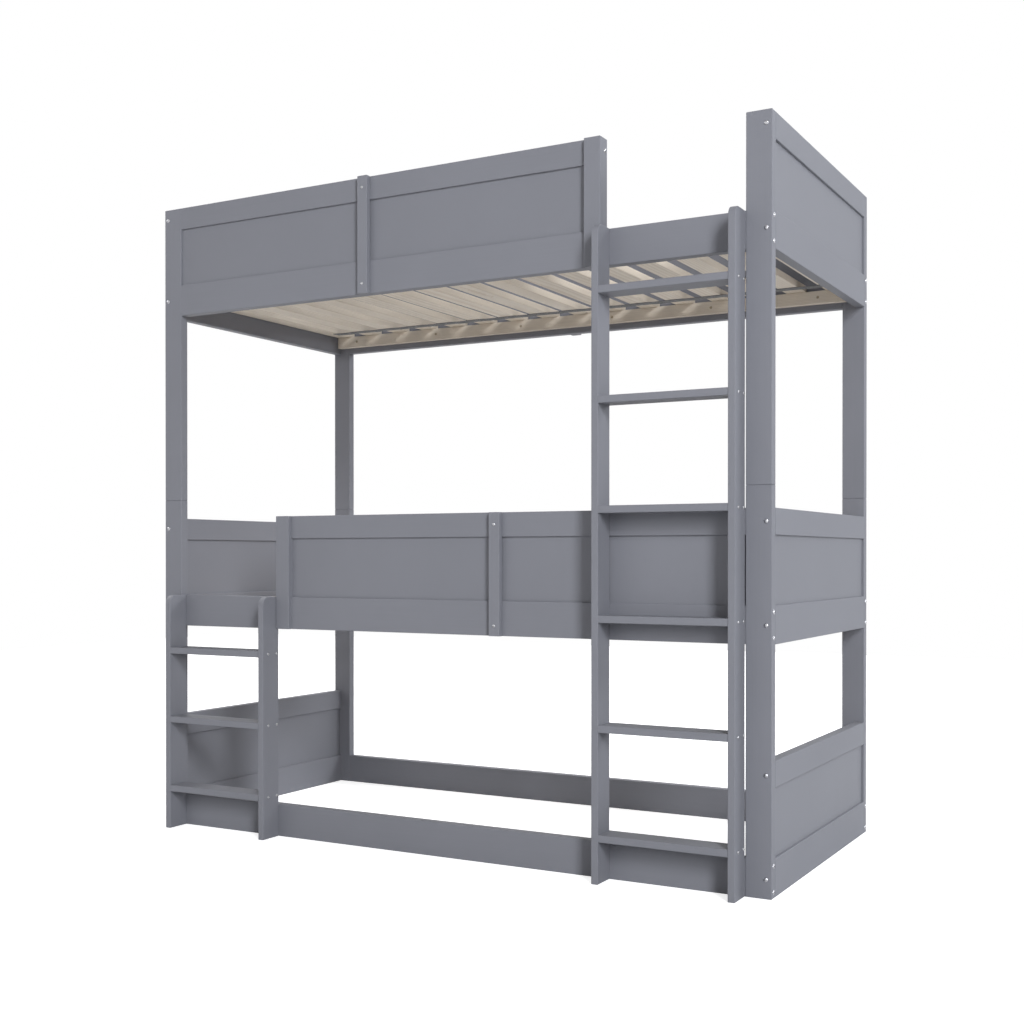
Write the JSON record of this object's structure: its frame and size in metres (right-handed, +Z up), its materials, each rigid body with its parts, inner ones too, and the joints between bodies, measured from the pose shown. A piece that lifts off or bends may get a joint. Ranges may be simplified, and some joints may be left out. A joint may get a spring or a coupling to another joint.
{
  "type": "triple bunk bed",
  "caption": "Free-standing bunk bed of painted timber with stacked bunks, framed end panels, guard rails, slat decks and fixed ladders at the entry gaps.",
  "frame": {"origin": "on the floor, in the middle of the whole bed with its ladders", "axes": "+X along the mattress to the right end, -Y to the front with the ladders, +Z up"},
  "size_m": [2.0766, 1.0554, 2.019],
  "materials": {
    "painted_timber": "satin paint",
    "painted_panel": "satin paint",
    "bare_pine": "planed, unfinished",
    "beech": "turned, unfinished",
    "bright_bolts": "bright plated",
    "zinc_steel": "zinc plated",
    "slat_webbing": "woven"
  },
  "bodies": {
    "root": {"bottom_front_side_rail": "painted_timber", "bottom_left_base_rail": "painted_timber", "bottom_left_cap_rail": "painted_timber", "bottom_rear_side_rail": "painted_timber", "bottom_right_base_rail": "painted_timber", "bottom_right_cap_rail": "painted_timber", "end_rail_bolts": "bright_bolts", "front_guard_battens": "painted_timber", "front_left_lower_post": "painted_timber", "front_left_upper_post": "painted_timber", "front_right_lower_post": "painted_timber", "front_right_upper_post": "painted_timber", "guard_rail_dowels": "beech", "guard_screws": "zinc_steel", "guard_stile_bolts": "bright_bolts", "insert_nuts": "zinc_steel", "ladder_screws": "zinc_steel", "ledger_screws": "zinc_steel", "left_end_panels": "painted_panel", "middle_front_guard_panel": "painted_panel", "middle_front_guard_rail": "painted_timber", "middle_front_guard_stile": "painted_timber", "middle_front_side_rail": "painted_timber", "middle_left_base_rail": "painted_timber", "middle_left_cap_rail": "painted_timber", "middle_rear_guard_panel": "painted_panel", "middle_rear_guard_rail": "painted_timber", "middle_rear_side_rail": "painted_timber", "middle_right_base_rail": "painted_timber", "middle_right_cap_rail": "painted_timber", "middle_slat_ledgers": "bare_pine", "middle_slats": "bare_pine", "post_joint_pins": "beech", "rear_guard_battens": "painted_timber", "rear_left_lower_post": "painted_timber", "rear_left_upper_post": "painted_timber", "rear_right_lower_post": "painted_timber", "rear_right_upper_post": "painted_timber", "right_end_panels": "painted_panel", "side_rail_bolts": "bright_bolts", "slat_tapes": "slat_webbing", "small_ladder_left_upright": "painted_timber", "small_ladder_right_upright": "painted_timber", "small_ladder_rungs": "painted_timber", "tall_ladder_left_upright": "painted_timber", "tall_ladder_right_upright": "painted_timber", "tall_ladder_rungs": "painted_timber", "top_front_guard_panel": "painted_panel", "top_front_guard_rail": "painted_timber", "top_front_guard_stile": "painted_timber", "top_front_side_rail": "painted_timber", "top_left_base_rail": "painted_timber", "top_left_cap_rail": "painted_timber", "top_rear_guard_panel": "painted_panel", "top_rear_guard_rail": "painted_timber", "top_rear_side_rail": "painted_timber", "top_right_base_rail": "painted_timber", "top_right_cap_rail": "painted_timber", "top_slat_ledgers": "bare_pine", "top_slats": "bare_pine"}
  },
  "joints": []
}
